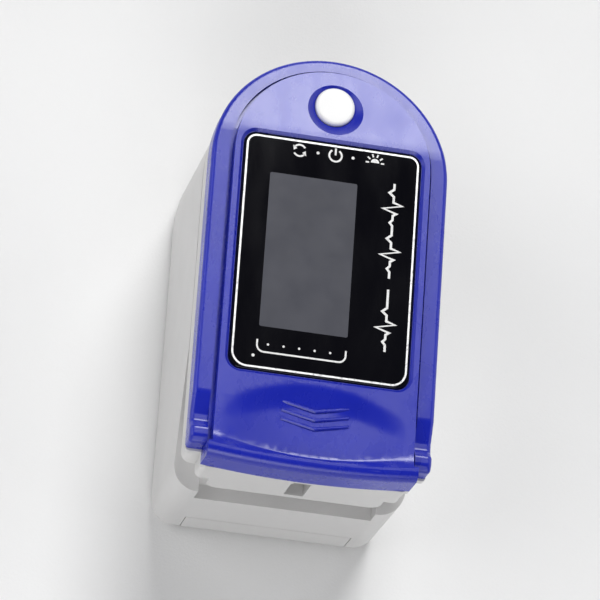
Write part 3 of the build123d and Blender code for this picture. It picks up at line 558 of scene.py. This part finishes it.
def finger_pad(node, upward):
    """Soft pad: round hollow for the finger, rolled edges, cross grooves and a raised frame for the light."""
    low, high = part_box(node)
    half, tail, nose = high.x, low.y, high.y
    thick = high.z - low.z
    skin = 0.04 * MM
    base = low.z if upward else high.z
    up = 1 if upward else -1
    corner = 3.2 * MM
    arch = 14.6 * MM
    centre_y = nose - arch
    hollow_radius, sink = 9.6 * MM, 1.6 * MM
    hole = (3.0 * MM, 2.5 * MM, 7.5 * MM)
    bend = 18 * MM
    ring_middle, ring_half = 0.55 * MM, 0.85 * MM
    grooves_rear, grooves_front, groove_step = 11 * MM, 23.5 * MM, 2.5 * MM

    def place(x, row):
        """Level along Y of a grid row, drawn in to the round nose and to the rounded rear corners."""
        y = row
        if row > bend:
            front = centre_y + sqrt(arch**2 - x**2)
            y = bend + (row - bend) * (front - bend) / (nose - bend)
        if row < 0:
            over = max(0.0, abs(x) - (half - corner))
            y = row * (tail + corner - sqrt(max(0.0, corner**2 - over**2))) / tail
        return y

    def top(x, y):
        """Height of the finger side above the back of the pad."""
        hollow = sqrt(max(0.0, hollow_radius**2 - x**2))
        height = thick - sink + hollow_radius - hollow
        height = min(height, thick)
        lift = 0.0
        frame_x = abs(x) - hole[0]
        frame_y = max(hole[1] - y, y - hole[2])
        ring = max(frame_x, frame_y)
        if ring < 1.4 * MM:
            swell = 0.5 + 0.5 * cos(pi * (ring - ring_middle) / ring_half)
            lift = 0.28 * MM * swell if ring > -0.3 * MM else 0
        groove = 0.0
        if grooves_rear < y < grooves_front:
            phase = (y - grooves_rear) / groove_step
            fade = min(1.0, max(0.0, (7.2 * MM - abs(x)) / (1.2 * MM)))
            groove = 0.16 * MM * max(0.0, sin(2 * pi * phase)) ** 2 * fade
        return height + lift - groove

    def rolled(height, edge):
        """Height with the rim rounded over, edge metres from it."""
        radius = 0.75 * MM
        if edge >= radius:
            return height
        return height - radius + sqrt(max(0.0, radius**2 - (radius - edge) ** 2))

    columns = pad_lines(-half + skin, half - skin, 0.55 * MM, [-hole[0], hole[0]])
    lines = pad_lines(tail + skin, nose - skin, 0.6 * MM, [hole[1], hole[2], bend, 0.0])
    bm = bmesh.new()
    upper, lower = {}, {}
    for i, x in enumerate(columns):
        for j, row in enumerate(lines):
            y = place(x, row)
            edge = min(half - skin - abs(x), row - tail - skin, nose - skin - row)
            tuck = 0.35 * MM if edge < 0.05 * MM and abs(x) > half - 0.1 * MM else 0.0
            height = min(rolled(top(x, y), edge), thick - skin)
            upper[i, j] = bm.verts.new((x, y, base + up * height))
            lower[i, j] = bm.verts.new((x - copysign(tuck, x), y, base + up * skin))
    last_i, last_j = len(columns) - 1, len(lines) - 1

    def open_cell(i, j):
        """Whether a grid cell lies in the way for the light."""
        middle_x = (columns[i] + columns[i + 1]) / 2
        middle_y = (lines[j] + lines[j + 1]) / 2
        return abs(middle_x) < hole[0] and hole[1] < middle_y < hole[2]

    for i in range(last_i):
        for j in range(last_j):
            if open_cell(i, j):
                continue
            bm.faces.new((upper[i, j], upper[i + 1, j], upper[i + 1, j + 1], upper[i, j + 1]))
            bm.faces.new((lower[i, j], lower[i, j + 1], lower[i + 1, j + 1], lower[i + 1, j]))
    for edge in [e for e in bm.edges if e.is_boundary]:
        a, b = edge.verts
        keys = {v: k for k, v in upper.items() if v in (a, b)}
        if len(keys) == 2:
            bm.faces.new((a, b, lower[keys[b]], lower[keys[a]]))
    loose = [v for v in bm.verts if not v.link_faces]
    bmesh.ops.delete(bm, geom=loose, context="VERTS")
    body = "lower_jaw" if upward else "upper_jaw"
    pad = finish_mesh(f"{node}_silicone", bm, PAINTS["silicone_grey"], body)
    smooth(pad, 50)
    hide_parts(node)


# ---------------------------------------------------------------- torsion springs

def wire(bm, path, radius, sides=14):
    """Round wire along a path of points, with closed ends."""
    rings = []
    normal = Vector((1, 0, 0))
    for i, point in enumerate(path):
        ahead = (path[min(i + 1, len(path) - 1)] - path[max(i - 1, 0)]).normalized()
        normal = (normal - ahead * normal.dot(ahead)).normalized()
        other = ahead.cross(normal)
        turns = [2 * pi * k / sides for k in range(sides)]
        rings.append([bm.verts.new(point + radius * (normal * cos(t) + other * sin(t))) for t in turns])
    for here, there in zip(rings, rings[1:]):
        for k in range(sides):
            m = (k + 1) % sides
            bm.faces.new((here[k], here[m], there[m], there[k]))
    bm.faces.new(rings[0])
    bm.faces.new(rings[-1])


def torsion_spring(side):
    """Closing spring round the hinge pin, with a lower and an upper leg."""
    node = f"torsion_spring_{side}"
    hand = 1 if side == "right" else -1
    hinge = Vector((0, -10.5 * MM, 17.5 * MM))
    coil_radius, pitch = 1.4 * MM, 0.72 * MM
    lower_tilt, upper_tilt = radians(12), radians(36)
    start_x = 5.0 * MM
    lower_leg, upper_leg, leg_steps = 6.2 * MM, 8.2 * MM, 8
    full_turns = 4
    sweep = 2 * pi * full_turns + pi - lower_tilt - upper_tilt
    start = -pi / 2 - lower_tilt
    path = []
    steps = 150
    for i in range(steps + 1):
        turned = sweep * i / steps
        t = start + turned
        x = start_x + pitch * turned / (2 * pi)
        path.append(Vector((x, hinge.y + coil_radius * cos(t), hinge.z + coil_radius * sin(t))))
    first = (path[0] - path[1]).normalized()
    last = (path[-1] - path[-2]).normalized()
    path = [path[0] + first * lower_leg * k / leg_steps for k in range(leg_steps, 0, -1)] + path
    path += [path[-1] + last * upper_leg * k / leg_steps for k in range(1, leg_steps + 1)]
    bm = bmesh.new()
    wire(bm, [Vector((hand * p.x, p.y, p.z)) for p in path], 0.3 * MM)
    spring = finish_mesh(f"{node}_wire", bm, PAINTS["spring_steel"], None)
    smooth(spring, 60)
    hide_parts(node)
    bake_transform(spring)


# ---------------------------------------------------------------- the object

record = frame["record"]
slots = {entry["node"]: entry["material_slot"] for entry in record["subparts"]}
for node, piece in frame["nodes"].items():
    piece.data.materials.clear()
    piece.data.materials.append(PAINTS[slots[node]].material)

BOX_LIKE = [
    "board_chips", "board_inductor", "board_crystal", "led_board", "led_emitter", "emitter_window",
    "sensor_window", "photodiode", "sensor_board", "contact_positive", "contact_negative",
    "display_glass", "display_foam", "display_flex",
]
for node in BOX_LIKE:
    piece = frame["nodes"][node]
    piece.data.attributes.remove(piece.data.attributes["custom_normal"])
    weld = piece.modifiers.new("join_corners", "WELD")
    weld.merge_threshold = 0.002 * MM
    ease = piece.modifiers.new("eased_edges", "BEVEL")
    ease.width = 0.05 * MM
    ease.segments = 2
    ease.limit_method = "ANGLE"
    ease.angle_limit = radians(40)

window_prints()
screen()
finger_pad("lower_pad", True)
finger_pad("upper_pad", False)
for side in ("right", "left"):
    torsion_spring(side)


# ---------------------------------------------------------------- floor, light and camera

bm = bmesh.new()
bmesh.ops.create_grid(bm, x_segments=8, y_segments=8, size=12)
finish_mesh("floor", bm, floor_paint(), None)


def sun(name, towards, strength, angle):
    """Broad soft light from far away; towards points from the object to the light."""
    data = bpy.data.lights.new(name, "SUN")
    data.energy = strength
    data.angle = radians(angle)
    lamp = bpy.data.objects.new(name, data)
    bpy.context.scene.collection.objects.link(lamp)
    lamp.rotation_mode = "QUATERNION"
    lamp.rotation_quaternion = Vector(towards).to_track_quat("Z", "Y")


sun("key", (0.10, 0.63, 0.77), 2.2, 27)
sun("left_fill", (-0.80, 0.05, 0.60), 1.0, 50)
sun("right_fill", (0.85, 0.15, 0.50), 0.5, 50)
sun("rear_fill", (-0.05, -0.84, 0.54), 1.2, 40)

world = bpy.data.worlds.new("studio")
bpy.context.scene.world = world
world.use_nodes = True
nodes, links = world.node_tree.nodes, world.node_tree.links
background = nodes["Background"]
direction = nodes.new("ShaderNodeTexCoord")
split = nodes.new("ShaderNodeSeparateXYZ")
links.new(direction.outputs["Generated"], split.inputs["Vector"])
fade = nodes.new("ShaderNodeValToRGB")
horizon, overhead = (0.04, (0.9, 0.9, 0.9, 1)), (0.22, (0.045, 0.045, 0.055, 1))
for element, (height, colour) in zip(fade.color_ramp.elements, (horizon, overhead)):
    element.position = height
    element.color = colour
links.new(split.outputs["Z"], fade.inputs["Fac"])
links.new(fade.outputs["Color"], background.inputs["Color"])

frame_height = 78 * MM
data = bpy.data.cameras.new("camera")
data.lens = 240
data.sensor_width = 36
camera = bpy.data.objects.new("camera", data)
bpy.context.scene.collection.objects.link(camera)
back = Vector((-0.182, -0.353, 0.918)).normalized()
right = Vector((0.974, 0.065, 0.218))
right = (right - back * right.dot(back)).normalized()
up = back.cross(right)
low, high = cad_box
middle = (low + high) / 2
distance = frame_height / 2 / tan(data.angle / 2)
spot = middle + back * distance
camera.matrix_world = Matrix((
    (right.x, up.x, back.x, spot.x),
    (right.y, up.y, back.y, spot.y),
    (right.z, up.z, back.z, spot.z),
    (0, 0, 0, 1),
))
data.clip_start = 0.05
data.clip_end = 40
bpy.context.scene.camera = camera
bpy.context.scene.view_settings.view_transform = "Standard"

bpy.context.view_layer.update()
